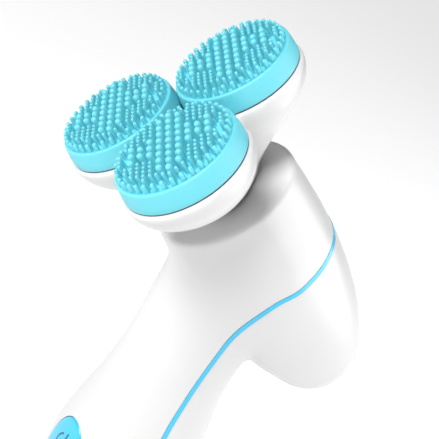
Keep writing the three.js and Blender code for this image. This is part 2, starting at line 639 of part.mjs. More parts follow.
function addBaseCap() {
  const floor = 2.2;
  const grooveBottom = CAP_HEIGHT + 2.4;
  const grooveTop = grooveBottom + 2.2;
  const collarTop = CAP_HEIGHT + 6;
  const cap = turned([
    [0, 0], [18.2, 0], [19.6, 0.5], [20.6, 1.8], [21, 4], [CAP_RADIUS, CAP_HEIGHT],
    [COLLAR_RADIUS, CAP_HEIGHT], [COLLAR_RADIUS, grooveBottom], [COLLAR_RADIUS - 1, grooveBottom],
    [COLLAR_RADIUS - 1, grooveTop], [COLLAR_RADIUS, grooveTop], [COLLAR_RADIUS, collarTop],
    [COLLAR_RADIUS - 1.9, collarTop], [COLLAR_RADIUS - 1.9, floor], [0, floor],
  ]);
  add(group, 'base_cap', cap, whitePlastic);
  const seal = ring(COLLAR_RADIUS - 0.7, COLLAR_RADIUS + 0.8, grooveBottom + GAP, grooveTop - GAP);
  add(group, 'cap_seal', seal, blackRubber);
}

addShells();
addSunGear();
addHead();
[0, 1, 2].forEach(addPad);
addGearbox();
addMotor();
addBatteries();
addControls();
addLeads();
addBaseCap();

export default group;
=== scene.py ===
"""Facial cleansing brush: the looks. Lengths in this script are millimetres in the frame's own axes
(+Z up the handle, the brush faces -Y and upwards), turned into metres when a mesh is made."""
import json
import math

import bmesh
import bpy
import numpy as np
from mathutils import Matrix, Vector


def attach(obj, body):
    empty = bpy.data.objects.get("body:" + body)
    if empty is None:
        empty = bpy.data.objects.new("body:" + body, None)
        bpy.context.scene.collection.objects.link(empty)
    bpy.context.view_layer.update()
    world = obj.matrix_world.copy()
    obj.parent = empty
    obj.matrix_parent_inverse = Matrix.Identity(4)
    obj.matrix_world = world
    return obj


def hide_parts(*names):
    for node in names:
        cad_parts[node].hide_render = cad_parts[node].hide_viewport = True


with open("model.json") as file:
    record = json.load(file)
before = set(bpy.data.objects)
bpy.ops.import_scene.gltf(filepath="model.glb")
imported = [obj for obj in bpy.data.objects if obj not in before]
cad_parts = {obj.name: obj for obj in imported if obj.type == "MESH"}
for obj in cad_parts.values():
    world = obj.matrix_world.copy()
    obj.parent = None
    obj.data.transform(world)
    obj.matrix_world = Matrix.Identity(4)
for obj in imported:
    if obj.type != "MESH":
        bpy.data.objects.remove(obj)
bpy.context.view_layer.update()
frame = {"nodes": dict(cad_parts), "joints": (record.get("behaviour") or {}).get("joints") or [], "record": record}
MM = 0.001
TURN = 2 * math.pi
joints = {joint["name"]: joint for joint in frame["joints"]}

# ---------------------------------------------------------------- the head's frame

HEAD_ORIGIN = np.array(joints["head_spin"]["pos_m"]) / MM
HEAD_Z = np.array(joints["head_spin"]["axis"])
HEAD_Z /= np.linalg.norm(HEAD_Z)
HEAD_X = np.array([1.0, 0.0, 0.0])
HEAD_Y = np.cross(HEAD_Z, HEAD_X)
HEAD_AXES = np.column_stack([HEAD_X, HEAD_Y, HEAD_Z])
PAD_CENTRES = [
    ((np.array(joints[f"pad_{number}_spin"]["pos_m"]) / MM - HEAD_ORIGIN) @ HEAD_AXES) for number in (1, 2, 3)
]
PAD_ANGLE = math.atan2(PAD_CENTRES[0][1], PAD_CENTRES[0][0])

NECK_TOP = -22.5        # heights of the neck and the carrier are along the head's axis
NECK_HOLE = 6.0
CAP_TOP = 6.0
GAP = 0.3
WALL = 1.9
BEYOND = 60             # wider than the object, from its middle plane

PAD_RADIUS = 16.35
PAD_BAND = 5.9
PAD_FLOOR = PAD_BAND - 0.75
BRISTLE_TIP = 9.2

BUTTON_Z = 34.6
BUTTON_HALF = (9.0, 14.0)
BUTTON_PROUD = 0.35
BUTTON_CLEARANCE = 0.28
PRESS = np.array(joints["power_button_press"]["axis"])
PRESS_SIDE = np.array([PRESS[1], -PRESS[0], 0.0])


def to_head(points):
    """Points of the frame, in the head's frame."""
    return (points - HEAD_ORIGIN) @ HEAD_AXES


def from_head(points):
    """Points of the head's frame, in the frame."""
    return points @ HEAD_AXES.T + HEAD_ORIGIN


# ---------------------------------------------------------------- curves and fields


def spline(points, per_segment):
    """A Catmull-Rom curve through the points."""
    points = np.array(points, float)
    padded = np.vstack([2 * points[0] - points[1], points, 2 * points[-1] - points[-2]])
    part = np.linspace(0, 1, per_segment, endpoint=False)[:, None]
    pieces = []
    for a, b, c, d in zip(padded, padded[1:], padded[2:], padded[3:]):
        pieces.append(0.5 * (2 * b + (c - a) * part + (2 * a - 5 * b + 4 * c - d) * part**2
                             + (3 * b - a - 3 * c + d) * part**3))
    return np.vstack([*pieces, points[-1:]])


def swept_field(balls, radius_limit, cell=0.25):
    """Signed distance to a row of balls, each [height, radius], on one axis: a function of (radius, height).
    It is looked up in a grid of the half plane, so that it stays quick for many points."""
    balls = spline(balls, 60)
    heights = np.arange(balls[:, 0].min() - 45, balls[:, 0].max() + 45, cell)
    radii = np.arange(0, radius_limit, cell)
    grid = np.full((len(radii), len(heights)), np.inf)
    for height, radius in balls:
        np.minimum(grid, np.hypot(radii[:, None], heights[None] - height) - radius, out=grid)

    def field(radius, height):
        i = np.clip(radius / cell, 0, len(radii) - 1.001)
        j = np.clip((height - heights[0]) / cell, 0, len(heights) - 1.001)
        low_i, low_j = i.astype(int), j.astype(int)
        part_i, part_j = i - low_i, j - low_j
        near = grid[low_i, low_j] * (1 - part_j) + grid[low_i, low_j + 1] * part_j
        far = grid[low_i + 1, low_j] * (1 - part_j) + grid[low_i + 1, low_j + 1] * part_j
        return near * (1 - part_i) + far * part_i

    return field


def soft_min(a, b, width):
    """The smaller of two fields, rounded off where they differ by less than the width."""
    part = np.clip(0.5 + 0.5 * (b - a) / width, 0, 1)
    return b + (a - b) * part - width * part * (1 - part)


def soft_max(a, b, width):
    """The larger of two fields, rounded off in the same way."""
    return -soft_min(-a, -b, width)


# Barrel and heel along the head's axis, and the handle along Z: [height, radius] of the balls inside them.
BARREL_BALLS = [
    [-12, 20.0], [-24.7, 20.3], [-34, 21.1], [-43, 21.6], [-52, 21.65], [-62, 20.8], [-72, 19.1],
    [-84.3, 15.3],
]
BARREL_LEAN = 0.021
HANDLE_BALLS = [
    [-30, 20.6], [-6, 20.9], [8, 21.1], [21, 21.8], [34, 22.1], [46, 21.1], [58, 19.2], [68, 17.8],
    [79, 17.0], [95, 17.4], [120, 19.2],
]
HANDLE_BEND_START = 66
HANDLE_BEND = 0.00125
GRIP_MIDDLE = 34
GRIP_BULGE = 1.3
GRIP_HALF_LENGTH = 28
NECK_EDGE = 1.3
barrel_field = swept_field(BARREL_BALLS, 60)
handle_field = swept_field(HANDLE_BALLS, 70)


def handle_axis_y(z):
    """The axis bends back towards the barrel, and the grip's middle swells to the front."""
    share = np.clip((z - GRIP_MIDDLE) / GRIP_HALF_LENGTH, -1, 1)
    bend = HANDLE_BEND * np.maximum(0, z - HANDLE_BEND_START) ** 2
    return bend - GRIP_BULGE * np.cos(share * math.pi / 2) ** 2


def body_field(points):
    """The outer skin of the two shells. Its lower end is cut off later."""
    local = to_head(points)
    lean = BARREL_LEAN * (local[:, 2] - NECK_TOP)
    barrel = barrel_field(np.hypot(local[:, 0], local[:, 1] - lean), local[:, 2])
    offset = points[:, 1] - handle_axis_y(points[:, 2])
    handle = handle_field(np.hypot(points[:, 0], offset), points[:, 2])
    # The web under the neck is broad, and the notch behind the handle is nearly a crease.
    blend = np.interp(points[:, 1], [8, 20], [5, 1.4])
    whole = soft_min(barrel, handle, blend)
    return soft_max(whole, local[:, 2] - NECK_TOP, NECK_EDGE)


# ---------------------------------------------------------------- meshes from fields

RELAX_ROUNDS = 4
RELAX_SHARE = 0.6       # how far a corner moves to its neighbours' middle in each round


def surface_net(field, low, high, step):
    """One quad mesh of the field's zero surface, its corners pulled onto that surface."""
    axes = [np.arange(a, b + step, step) for a, b in zip(low, high)]
    grid = np.stack(np.meshgrid(*axes, indexing="ij"), -1)
    inside = (field(grid.reshape(-1, 3)) < 0).reshape(grid.shape[:3])
    size = [n - 1 for n in inside.shape]
    count = np.zeros(size, int)
    for i in (0, 1):
        for j in (0, 1):
            for k in (0, 1):
                count += inside[i:size[0] + i, j:size[1] + j, k:size[2] + k]
    cells = (count > 0) & (count < 8)
    index = np.full(size, -1)
    index[cells] = np.arange(cells.sum())
    points = grid[:-1, :-1, :-1][cells] + step / 2
    faces = []
    for axis in range(3):
        along = np.roll(np.arange(3), -axis)
        turned = inside.transpose(along)
        cell_index = index.transpose(along)
        before = turned[:-1, 1:-1, 1:-1]
        after = turned[1:, 1:-1, 1:-1]
        for start, flip in ((before & ~after, False), (after & ~before, True)):
            i, j, k = np.nonzero(start)
            quad = [cell_index[i, j + a, k + b] for a, b in ((0, 0), (1, 0), (1, 1), (0, 1))]
            faces.append(np.stack(quad[::-1] if flip else quad, 1))
    faces = np.vstack(faces)
    edges = np.vstack([faces[:, [0, 1]], faces[:, [1, 2]], faces[:, [2, 3]], faces[:, [3, 0]]])
    for _ in range(RELAX_ROUNDS):
        total = np.zeros_like(points)
        number = np.zeros(len(points))
        np.add.at(total, edges[:, 0], points[edges[:, 1]])
        np.add.at(number, edges[:, 0], 1)
        points = (1 - RELAX_SHARE) * points + RELAX_SHARE * total / number[:, None]
        points = onto_surface(field, points)
    return points, faces


def onto_surface(field, points):
    """Moves points along the field's slope until they lie on its zero surface."""
    nudge = 0.05
    least_size = 0.2
    for _ in range(3):
        slope = np.stack([(field(points + nudge * axis) - field(points - nudge * axis)) / (2 * nudge)
                          for axis in np.eye(3)], 1)
        size = np.maximum((slope**2).sum(1), least_size)
        points = points - (field(points) / size)[:, None] * slope
    return points


def make_object(name, points, faces):
    """An object from points in millimetres."""
    mesh = bpy.data.meshes.new(name)
    mesh.from_pydata((np.asarray(points) * MM).tolist(), [], [list(map(int, face)) for face in faces])
    mesh.update()
    made = bpy.data.objects.new(name, mesh)
    bpy.context.scene.collection.objects.link(made)
    return made


def correct_normals(made):
    """Turns a closed mesh's faces outwards."""
    mesh = bmesh.new()
    mesh.from_mesh(made.data)
    bmesh.ops.recalc_face_normals(mesh, faces=mesh.faces)
    mesh.to_mesh(made.data)
    mesh.free()


def apply_modifiers(made):
    depsgraph = bpy.context.evaluated_depsgraph_get()
    mesh = bpy.data.meshes.new_from_object(made.evaluated_get(depsgraph))
    made.modifiers.clear()
    old = made.data
    made.data = mesh
    bpy.data.meshes.remove(old)


def finish_piece(made, material, body, replaced=(), sharp=35):
    """Shades a piece, and says what it is made of, rides on and stands for."""
    mesh = made.data
    mesh.materials.clear()
    mesh.materials.append(material)
    for polygon in mesh.polygons:
        polygon.material_index = 0
    mesh.shade_smooth()
    mesh.set_sharp_from_angle(angle=math.radians(sharp))
    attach(made, body)
    if replaced:
        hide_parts(*replaced)


def lathe(profile, segments):
    """Points and faces of an outline of [radius, height] points, from the axis round to the axis."""
    points = [[0, 0, profile[0][1]]]
    for radius, height in profile[1:-1]:
        for step in range(segments):
            angle = TURN * step / segments
            points.append([radius * math.cos(angle), radius * math.sin(angle), height])
    points.append([0, 0, profile[-1][1]])
    rings = len(profile) - 2
    faces = []
    for step in range(segments):
        following = (step + 1) % segments
        faces.append([0, 1 + following, 1 + step])
        for ring in range(rings - 1):
            low = 1 + ring * segments
            high = low + segments
            faces.append([low + step, low + following, high + following, high + step])
        last = 1 + (rings - 1) * segments
        faces.append([last + step, last + following, len(points) - 1])
    return np.array(points), faces


def ring_lathe(profile, segments):
    """Points and faces of a ring with a closed outline of [radius, height] corners."""
    points = []
    for step in range(segments):
        angle = TURN * step / segments
        points += [[radius * math.cos(angle), radius * math.sin(angle), height] for radius, height in profile]
    number = len(profile)
    faces = []
    for step in range(segments):
        here = step * number
        following = (step + 1) % segments * number
        faces += [[here + i, following + i, following + (i + 1) % number, here + (i + 1) % number]
                  for i in range(number)]
    return np.array(points), faces


def rounded(corners, steps=5):
    """An outline of [x, y, rounding] corners, with an arc of points at each corner that has a rounding."""
    outline = []
    for i, (x, y, radius) in enumerate(corners):
        here = np.array([x, y], float)
        if radius == 0:
            outline.append(here)
            continue
        before = np.array(corners[i - 1][:2], float) - here
        after = np.array(corners[(i + 1) % len(corners)][:2], float) - here
        start = here + before / np.linalg.norm(before) * radius
        end = here + after / np.linalg.norm(after) * radius
        for part in np.linspace(0, 1, steps + 1):
            outline.append((1 - part) ** 2 * start + 2 * part * (1 - part) * here + part**2 * end)
    return outline


# ---------------------------------------------------------------- materials


def shader(name, color, roughness, grain=0.0, grain_scale=900.0, mottle=0.02, metallic=0.0, coat=0.0,
           subsurface=0.0, ridges=0.0):
    """A material with fine moulded grain or turned ridges, a faint change of tone, and roughness that varies
    a little."""
    material = bpy.data.materials.new(name)
    material.use_nodes = True
    nodes = material.node_tree.nodes
    links = material.node_tree.links
    surface = nodes["Principled BSDF"]
    place = nodes.new("ShaderNodeTexCoord")

    def noise(scale, detail):
        made = nodes.new("ShaderNodeTexNoise")
        made.inputs["Scale"].default_value = scale
        made.inputs["Detail"].default_value = detail
        links.new(place.outputs["Object"], made.inputs["Vector"])
        return made

    def relief(texture, strength):
        bump = nodes.new("ShaderNodeBump")
        bump.inputs["Strength"].default_value = strength
        bump.inputs["Distance"].default_value = 0.0002
        links.new(texture.outputs["Fac"], bump.inputs["Height"])
        links.new(bump.outputs["Normal"], surface.inputs["Normal"])

    tone = noise(scale=45.0, detail=4.0)
    ramp = nodes.new("ShaderNodeValToRGB")
    darker, lighter = ramp.color_ramp.elements
    darker.position = 0.3
    lighter.position = 0.7
    darker.color = (*[max(0.0, c * (1 - mottle)) for c in color], 1)
    lighter.color = (*[min(1.0, c * (1 + mottle)) for c in color], 1)
    links.new(tone.outputs["Fac"], ramp.inputs["Fac"])
    links.new(ramp.outputs["Color"], surface.inputs["Base Color"])

    wear = noise(scale=160.0, detail=5.0)
    spread = nodes.new("ShaderNodeMapRange")
    spread.inputs["To Min"].default_value = roughness * 0.85
    spread.inputs["To Max"].default_value = min(1.0, roughness * 1.15)
    links.new(wear.outputs["Fac"], spread.inputs["Value"])
    links.new(spread.outputs["Result"], surface.inputs["Roughness"])

    if grain:
        relief(noise(scale=grain_scale, detail=3.0), grain)
    if ridges:
        wave = nodes.new("ShaderNodeTexWave")
        wave.inputs["Scale"].default_value = ridges
        wave.bands_direction = "Z"
        links.new(place.outputs["Object"], wave.inputs["Vector"])
        relief(wave, 0.3)
    surface.inputs["Metallic"].default_value = metallic
    surface.inputs["Coat Weight"].default_value = coat
    surface.inputs["Coat Roughness"].default_value = 0.2
    surface.inputs["Subsurface Weight"].default_value = subsurface
    surface.inputs["Subsurface Scale"].default_value = 0.002
    return material


white = shader("white_gloss_plastic", (0.62, 0.62, 0.62), 0.34, grain=0.02, mottle=0.006, coat=0.12)
turquoise = shader("turquoise_plastic", (0.035, 0.47, 0.72), 0.28, grain=0.03, mottle=0.03, coat=0.3)
silicone = shader("turquoise_silicone", (0.135, 0.57, 0.66), 0.5, grain=0.10, grain_scale=1800, mottle=0.02,
                  subsurface=0.25)
# Painted shadow: a near-black colour for the ring that stands in for the shade in the gap under each pad.
painted_gap_shade = shader("gap_shadow", (0.07, 0.05, 0.055), 0.7, grain=0.1)
symbol_ink = shader("symbol_teal", (0.012, 0.12, 0.22), 0.4, grain=0.05)
SLOT_MATERIALS = {
    "white_plastic": white,
    "turquoise_plastic": turquoise,
    "silicone": silicone,
    "grey_plastic": shader("grey_plastic", (0.55, 0.57, 0.58), 0.45, grain=0.2),
    "dark_plastic": shader("dark_plastic", (0.035, 0.038, 0.042), 0.5, grain=0.25),
    "gear_plastic": shader("acetal", (0.80, 0.76, 0.64), 0.4, grain=0.1, subsurface=0.1),
    "black_rubber": shader("black_rubber", (0.013, 0.014, 0.015), 0.7, grain=0.3),
    "steel": shader("plated_steel", (0.56, 0.57, 0.58), 0.28, grain=0.05, metallic=1.0),
    "brass": shader("turned_brass", (0.60, 0.41, 0.14), 0.3, metallic=1.0, ridges=800),
    "battery_wrap": shader("cell_sleeve", (0.05, 0.12, 0.30), 0.3, grain=0.05, metallic=0.4),
    "board_green": shader("solder_mask", (0.012, 0.14, 0.055), 0.35, grain=0.3, grain_scale=400, mottle=0.2),
    "lead_red": shader("red_insulation", (0.45, 0.02, 0.015), 0.45, grain=0.1),
    "lead_black": shader("black_insulation", (0.012, 0.012, 0.012), 0.45, grain=0.1),
}


def dress_cad_nodes():
    """The CAD pieces that stay are given their procedural materials."""
    for part in frame["record"]["subparts"]:
        mesh = frame["nodes"][part["node"]].data
        mesh.materials.clear()
        mesh.materials.append(SLOT_MATERIALS[part["material_slot"]])


# ---------------------------------------------------------------- shells and trim


def head_point(y, z):
    """A point of the head's frame in its middle plane, as (y, z) of the frame."""
    return from_head(np.array([[0.0, y, z]]))[0, 1:]


SEAM_START = -20        # below the handle's end
SEAM_HEIGHT = -48.1
SEAM_HALF_WIDTH = 0.65
SEAM_CLEARANCE = 0.12   # between the trim strip and each shell
TRIM_RAISED = 0.12
TRIM_WALL = 1.3
SEAM_POINTS = [
    (0, SEAM_START), (0, 30), (0.1, 60), (1.1, 76), (2.0, 92), (3.2, 107.5), (6.4, 117.8), (10.9, 123.0),
    head_point(12, SEAM_HEIGHT), head_point(28, SEAM_HEIGHT), head_point(45, SEAM_HEIGHT),
]


def seam_line(distance):
    """The seam in the Y-Z plane, moved towards the front for a positive distance."""
    line = spline(SEAM_POINTS, 14)
    tangent = np.gradient(line, axis=0)
    tangent /= np.linalg.norm(tangent, axis=1)[:, None]
    return line + distance * np.column_stack([-tangent[:, 1], tangent[:, 0]])


# Marks the faces that a cutter leaves, so that they can be told from the skin.
cut_mark = bpy.data.materials.new("cut_mark")


def prism(name, outline, low, high, place):
    """A closed cutter: an outline carried from low to high, its corners set by place(a, b, height)."""
    number = len(outline)
    points = [place(a, b, low) for a, b in outline] + [place(a, b, high) for a, b in outline]
    faces = [list(range(number))[::-1], list(range(number, 2 * number))]
    faces += [[i, (i + 1) % number, number + (i + 1) % number, number + i] for i in range(number)]
    cutter = make_object(name, np.array(points), faces)
    correct_normals(cutter)
    cutter.data.materials.append(None)
    cutter.data.materials.append(cut_mark)
    for polygon in cutter.data.polygons:
        polygon.material_index = 1
    return cutter


def circle(radius_x, radius_y, segments):
    """An ellipse's corners."""
    return [(radius_x * math.cos(TURN * i / segments), radius_y * math.sin(TURN * i / segments))
            for i in range(segments)]


def cut(made, cutter, operation):
    step = made.modifiers.new("cut", "BOOLEAN")
    step.operation = operation
    step.object = cutter
    step.solver = "EXACT"
    step.material_mode = "TRANSFER"
    apply_modifiers(made)


def drop_cut_faces(made):
    """Removes the faces that the cutters left, so that only the outer skin remains."""
    marks = [i for i, material in enumerate(made.data.materials) if material is cut_mark]
    skin = bmesh.new()
    skin.from_mesh(made.data)
    bmesh.ops.delete(skin, geom=[f for f in skin.faces if f.material_index in marks], context="FACES")
    skin.to_mesh(made.data)
    skin.free()


def thicken(made, wall):
    """Gives a skin a wall on its inner side."""
    step = made.modifiers.new("wall", "SOLIDIFY")
    step.thickness = wall * MM
    step.offset = -1
    apply_modifiers(made)


def across_x(a, b, height):
    return height, a, b


def upright(a, b, height):
    return a, b, height


def along_head(a, b, height):
    return from_head(np.array([a, b, height]))


def along_press(a, b, height):
    return tuple(on_button_axes(a, height, b + BUTTON_Z))


def cut_from_skin(skin, name, cutter, holes=()):
    """The part of the skin inside a cutter, less some holes."""
    made = bpy.data.objects.new(name, skin.data.copy())
    bpy.context.scene.collection.objects.link(made)
    cut(made, cutter, "INTERSECT")
    for hole in holes:
        cut(made, hole, "DIFFERENCE")
    drop_cut_faces(made)
    return made


def build_shells():
    step = 0.85
    points, faces = surface_net(body_field, (-25, -30, -2), (25, 56, 156), step)
    skin = make_object("skin", points, faces)
    skin.data.materials.append(white)

    # The cutters: what is in front of the seam, behind it and on it, the open lower end, and the two holes.
    far = 300
    front_line = seam_line(SEAM_HALF_WIDTH + SEAM_CLEARANCE)
    back_line = seam_line(-SEAM_HALF_WIDTH - SEAM_CLEARANCE)
    in_front = [*front_line, (front_line[-1][0], far), (-far, far), (-far, SEAM_START)]
    behind = [*back_line, (far, back_line[-1][1]), (far, SEAM_START)]
    on_seam = [*seam_line(SEAM_HALF_WIDTH), *seam_line(-SEAM_HALF_WIDTH)[::-1]]
    front_half = prism("front_half", in_front, -BEYOND, BEYOND, across_x)
    back_half = prism("back_half", behind, -BEYOND, BEYOND, across_x)
    strip = prism("strip", on_seam, -BEYOND, BEYOND, across_x)
    below = prism("below", circle(BEYOND, BEYOND, 4), -40, CAP_TOP + GAP, upright)
    neck_outline = circle(NECK_HOLE, NECK_HOLE, 48)
    neck_hole = prism("neck_hole", neck_outline, NECK_TOP - 8, NECK_TOP + 4, along_head)
    button_outline = circle(*[half + BUTTON_CLEARANCE for half in BUTTON_HALF], 72)
    button_hole = prism("button_hole", button_outline, -40, -8, along_press)
    cut(skin, below, "DIFFERENCE")

    front = cut_from_skin(skin, "front_shell_skin", front_half, [neck_hole, button_hole])
    thicken(front, WALL)
    finish_piece(front, white, "body", ["front_shell"])
    rear = cut_from_skin(skin, "rear_shell_skin", back_half)
    thicken(rear, WALL)
    finish_piece(rear, white, "body", ["rear_shell"])
    trim = cut_from_skin(skin, "trim_strip_skin", strip)
    raised = trim.modifiers.new("raised", "DISPLACE")
    raised.strength = TRIM_RAISED * MM
    raised.mid_level = 0
    apply_modifiers(trim)
    thicken(trim, TRIM_WALL)
    finish_piece(trim, turquoise, "body", ["trim_strip"])
    for spare in (skin, front_half, back_half, strip, below, neck_hole, button_hole):
        bpy.data.objects.remove(spare)


# ---------------------------------------------------------------- the carrier

# A bowl from its rim down: [height, distance of its middle from the axis, radius].
BOWL = np.array([
    [2, 19.06, 17.0], [0, 19.06, 16.9], [-2.2, 19.0, 16.85], [-5, 18.7, 16.0], [-8, 17.9, 14.2],
    [-11.5, 16.0, 11.4], [-15, 12.7, 8.5], [-18, 9.0, 6.9], [-21, 5.6, 6.0], [-24, 2.5, 6],
])
# The hub between the bowls: [height, radius].
HUB = np.array([[2, 11.2], [-6, 11.2], [-12, 9.8], [-20, 9.6], [-24, 9.2]])
HUB_BOTTOM = -21.9
BOWL_WALL = 1.8
BOWL_JOIN = 3.0         # how broadly the bowls run into the hub
BOWL_FLOOR = -11.5      # of the hollow inside
RIM_EDGE = 0.9
INNER_EDGE = 0.5
POST_RADIUS = 4.0
SPINDLE_BORE = 2.4
SLEEVE_BORE = 4.8
SLEEVE_TUBE = 6.8       # the wall round the sleeve
GEAR_FLOOR = -5         # of the room for the gears, and the tops of the posts and the tube
GEAR_ROOM = 8.3
COVER_LEDGE = -2
COVER_ROOM = 10.9
SEAL_ROOM = 7.8
SEAL_TOP = -20.6
NOWHERE = 50.0          # a field's value where there is nothing near


def smooth_table(table):
    """The table's rows joined by a smooth curve, as columns that np.interp can read."""
    curve = spline(table, 12)[::-1]
    return curve[:, 0], [curve[:, column] for column in range(1, table.shape[1])]


def carrier_field(local):
    """The three bowls and their hub, hollow and open at the rim, in the head's frame."""
    heights, (offsets, radii) = smooth_table(BOWL)
    z = local[:, 2]
    offset = np.interp(z, heights, offsets)
    radius = np.interp(z, heights, radii)
    radius_slope = np.interp(z, heights, np.gradient(radii, heights))
    offset_slope = np.interp(z, heights, np.gradient(offsets, heights))
    steep = np.sqrt(1 + 0.5 * (radius_slope + offset_slope) ** 2)
    hub_heights, (hub_radii,) = smooth_table(HUB)
    from_axis = np.hypot(local[:, 0], local[:, 1])
    outer = from_axis - np.interp(z, hub_heights, hub_radii)
    inner = np.full(len(local), NOWHERE)
    posts = np.full(len(local), NOWHERE)
    for centre in PAD_CENTRES:
        direction = centre[:2] / np.linalg.norm(centre[:2])
        across = np.hypot(local[:, 0] - direction[0] * offset, local[:, 1] - direction[1] * offset)
        outer = soft_min(outer, (across - radius) / steep, BOWL_JOIN)
        inner = np.minimum(inner, (across - radius + BOWL_WALL) / steep)
        from_spindle = np.hypot(local[:, 0] - centre[0], local[:, 1] - centre[1])
        posts = np.minimum(posts, np.maximum(from_spindle - POST_RADIUS, z - GEAR_FLOOR))
        posts = np.maximum(posts, SPINDLE_BORE - from_spindle)

    # The hollow: the bowls above their floor, outside the tube and the posts, with room for gears and cover.
    inner = np.maximum(inner, BOWL_FLOOR - z)
    above_tube = 20 * (z > GEAR_FLOOR)
    inner = np.maximum(inner, SLEEVE_TUBE - from_axis - above_tube)
    inner = np.minimum(inner, np.maximum(from_axis - GEAR_ROOM, GEAR_FLOOR - z))
    inner = np.minimum(inner, np.maximum(from_axis - COVER_ROOM, COVER_LEDGE - z))
    inner = np.maximum(inner, -posts)

    solid = soft_max(outer, z, RIM_EDGE)
    solid = soft_max(solid, HUB_BOTTOM - z, RIM_EDGE)
    solid = soft_max(solid, -inner, INNER_EDGE)
    solid = np.maximum(solid, SLEEVE_BORE - from_axis)
    return np.maximum(solid, -np.maximum(from_axis - SEAL_ROOM, z - SEAL_TOP))


def build_carrier():
    step = 0.6
    points, faces = surface_net(carrier_field, (-38, -38, -24), (38, 38, 2), step)
    carrier = make_object("head_carrier_skin", from_head(points), faces)
    finish_piece(carrier, white, "head", ["head_carrier"], sharp=50)


# ---------------------------------------------------------------- the silicone pads

BRISTLE_SIDES = 10
BRISTLE_SINK = 0.15     # how far a bristle starts below the pad's floor
THICK_RADIUS = 1.0
THICK_COLUMN = 2.45     # from one row of the cross to the next
THICK_PITCH = 2.7       # along a row
THIN_RADIUS = 0.52
THIN_PITCH = 1.62
THIN_SHORTER = 0.5
THICK_TO_THIN = 1.78    # the least distance between a thick and a thin one
RIM_RADIUS = 0.62
RIM_COUNT = 38
RIM_SHORTER = 1.2
GAP_LINE_INSET = 0.22
GAP_LINE_INNER = 12.0


def bristle(x, y, radius, tip):
    """One tapered, dome-ended bristle, as points and faces."""
    dome = radius * 0.92
    straight = tip - PAD_FLOOR - dome
    rows = [(0.0, radius * 1.25), (0.35, radius * 1.05), (0.9, radius), (straight, dome)]
    for part in (0.35, 0.65, 0.88):
        angle = part * math.pi / 2
        rows.append((straight + dome * math.sin(angle), dome * math.cos(angle)))
    points = []
    for height, size in rows:
        for a, b in circle(size, size, BRISTLE_SIDES):
            points.append([x + a, y + b, PAD_FLOOR - BRISTLE_SINK + height])
    points.append([x, y, tip - BRISTLE_SINK])
    faces = [list(range(BRISTLE_SIDES))[::-1]]
    for row in range(len(rows) - 1):
        low = row * BRISTLE_SIDES
        high = low + BRISTLE_SIDES
        for side in range(BRISTLE_SIDES):
            following = (side + 1) % BRISTLE_SIDES
            faces.append([low + side, low + following, high + following, high + side])
    last = (len(rows) - 1) * BRISTLE_SIDES
    for side in range(BRISTLE_SIDES):
        faces.append([last + side, last + (side + 1) % BRISTLE_SIDES, len(points) - 1])
    return points, faces


def staggered(row, place, pitch):
    """How far along its row a bristle stands, when every other row is moved by half a pitch."""
    return (place + (0.5 if row % 2 else 0.0)) * pitch


def bristle_places():
    """Where a pad's bristles stand: a cross of thick ones, thin ones in its corners, a ring near the rim."""
    places = []
    for row in range(-4, 5):
        for place in range(-9, 10):
            x = staggered(row, place, THICK_PITCH)
            y = row * THICK_COLUMN
            in_cross = abs(row) <= 1 or abs(x) <= 1.3 * THICK_PITCH
            if in_cross and math.hypot(y, x) < 0.74 * PAD_RADIUS:
                places.append((x, y, THICK_RADIUS, BRISTLE_TIP))
    thick = [(x, y) for x, y, _, _ in places]
    for row in range(-9, 10):
        for place in range(-10, 11):
            x = staggered(row, place, THIN_PITCH)
            y = row * THIN_PITCH
            is_clear = all(math.hypot(x - a, y - b) > THICK_TO_THIN for a, b in thick)
            if is_clear and math.hypot(x, y) < 0.80 * PAD_RADIUS:
                places.append((x, y, THIN_RADIUS, BRISTLE_TIP - THIN_SHORTER))
    reach = 0.875 * PAD_RADIUS
    for x, y in circle(reach, reach, RIM_COUNT):
        places.append((x, y, RIM_RADIUS, BRISTLE_TIP - RIM_SHORTER))
    return places


def build_pad(number):
    centre = PAD_CENTRES[number - 1]
    hollow_radius = 14.0
    hollow_top = 3.0
    corners = [
        (0, hollow_top, 0), (hollow_radius, hollow_top, 0.2), (hollow_radius, GAP, 0.1),
        (PAD_RADIUS - 0.1, GAP, 0.25), (PAD_RADIUS, 1.6, 0.8), (PAD_RADIUS - 0.6, PAD_BAND, 0.7),
        (PAD_RADIUS - 1.5, PAD_BAND - 0.05, 0.45), (PAD_RADIUS - 1.75, PAD_FLOOR, 0.4), (0, PAD_FLOOR, 0),
    ]
    points, faces = lathe(rounded(corners), 96)
    points = [list(point) for point in points]
    for x, y, radius, tip in bristle_places():
        new_points, new_faces = bristle(x, y, radius, tip)
        start = len(points)
        points += new_points
        faces += [[start + i for i in face] for face in new_faces]
    turn = np.array([[math.cos(PAD_ANGLE), -math.sin(PAD_ANGLE)], [math.sin(PAD_ANGLE), math.cos(PAD_ANGLE)]])
    points = np.array(points)
    points[:, :2] = points[:, :2] @ turn.T
    points += [centre[0], centre[1], 0]
    pad = make_object(f"brush_pad_{number}_silicone", from_head(points), faces)
    finish_piece(pad, silicone, f"pad_{number}", [f"brush_pad_{number}"], sharp=60)

    # Painted shadow of the running gap: a thin near-black ring that fills the gap, a little inside the pad's edge,
    # stands in for the shade there.
    low, high = 0.02, GAP + 0.02
    outer = PAD_RADIUS - GAP_LINE_INSET
    outline = [(GAP_LINE_INNER, low), (outer, low), (outer, high), (GAP_LINE_INNER, high)]
    points, faces = ring_lathe(outline, 96)
    ring = make_object(f"pad_shadow_ring_{number}", from_head(points + [centre[0], centre[1], 0]), faces)
    finish_piece(ring, painted_gap_shade, f"pad_{number}")


# ---------------------------------------------------------------- button and base cap

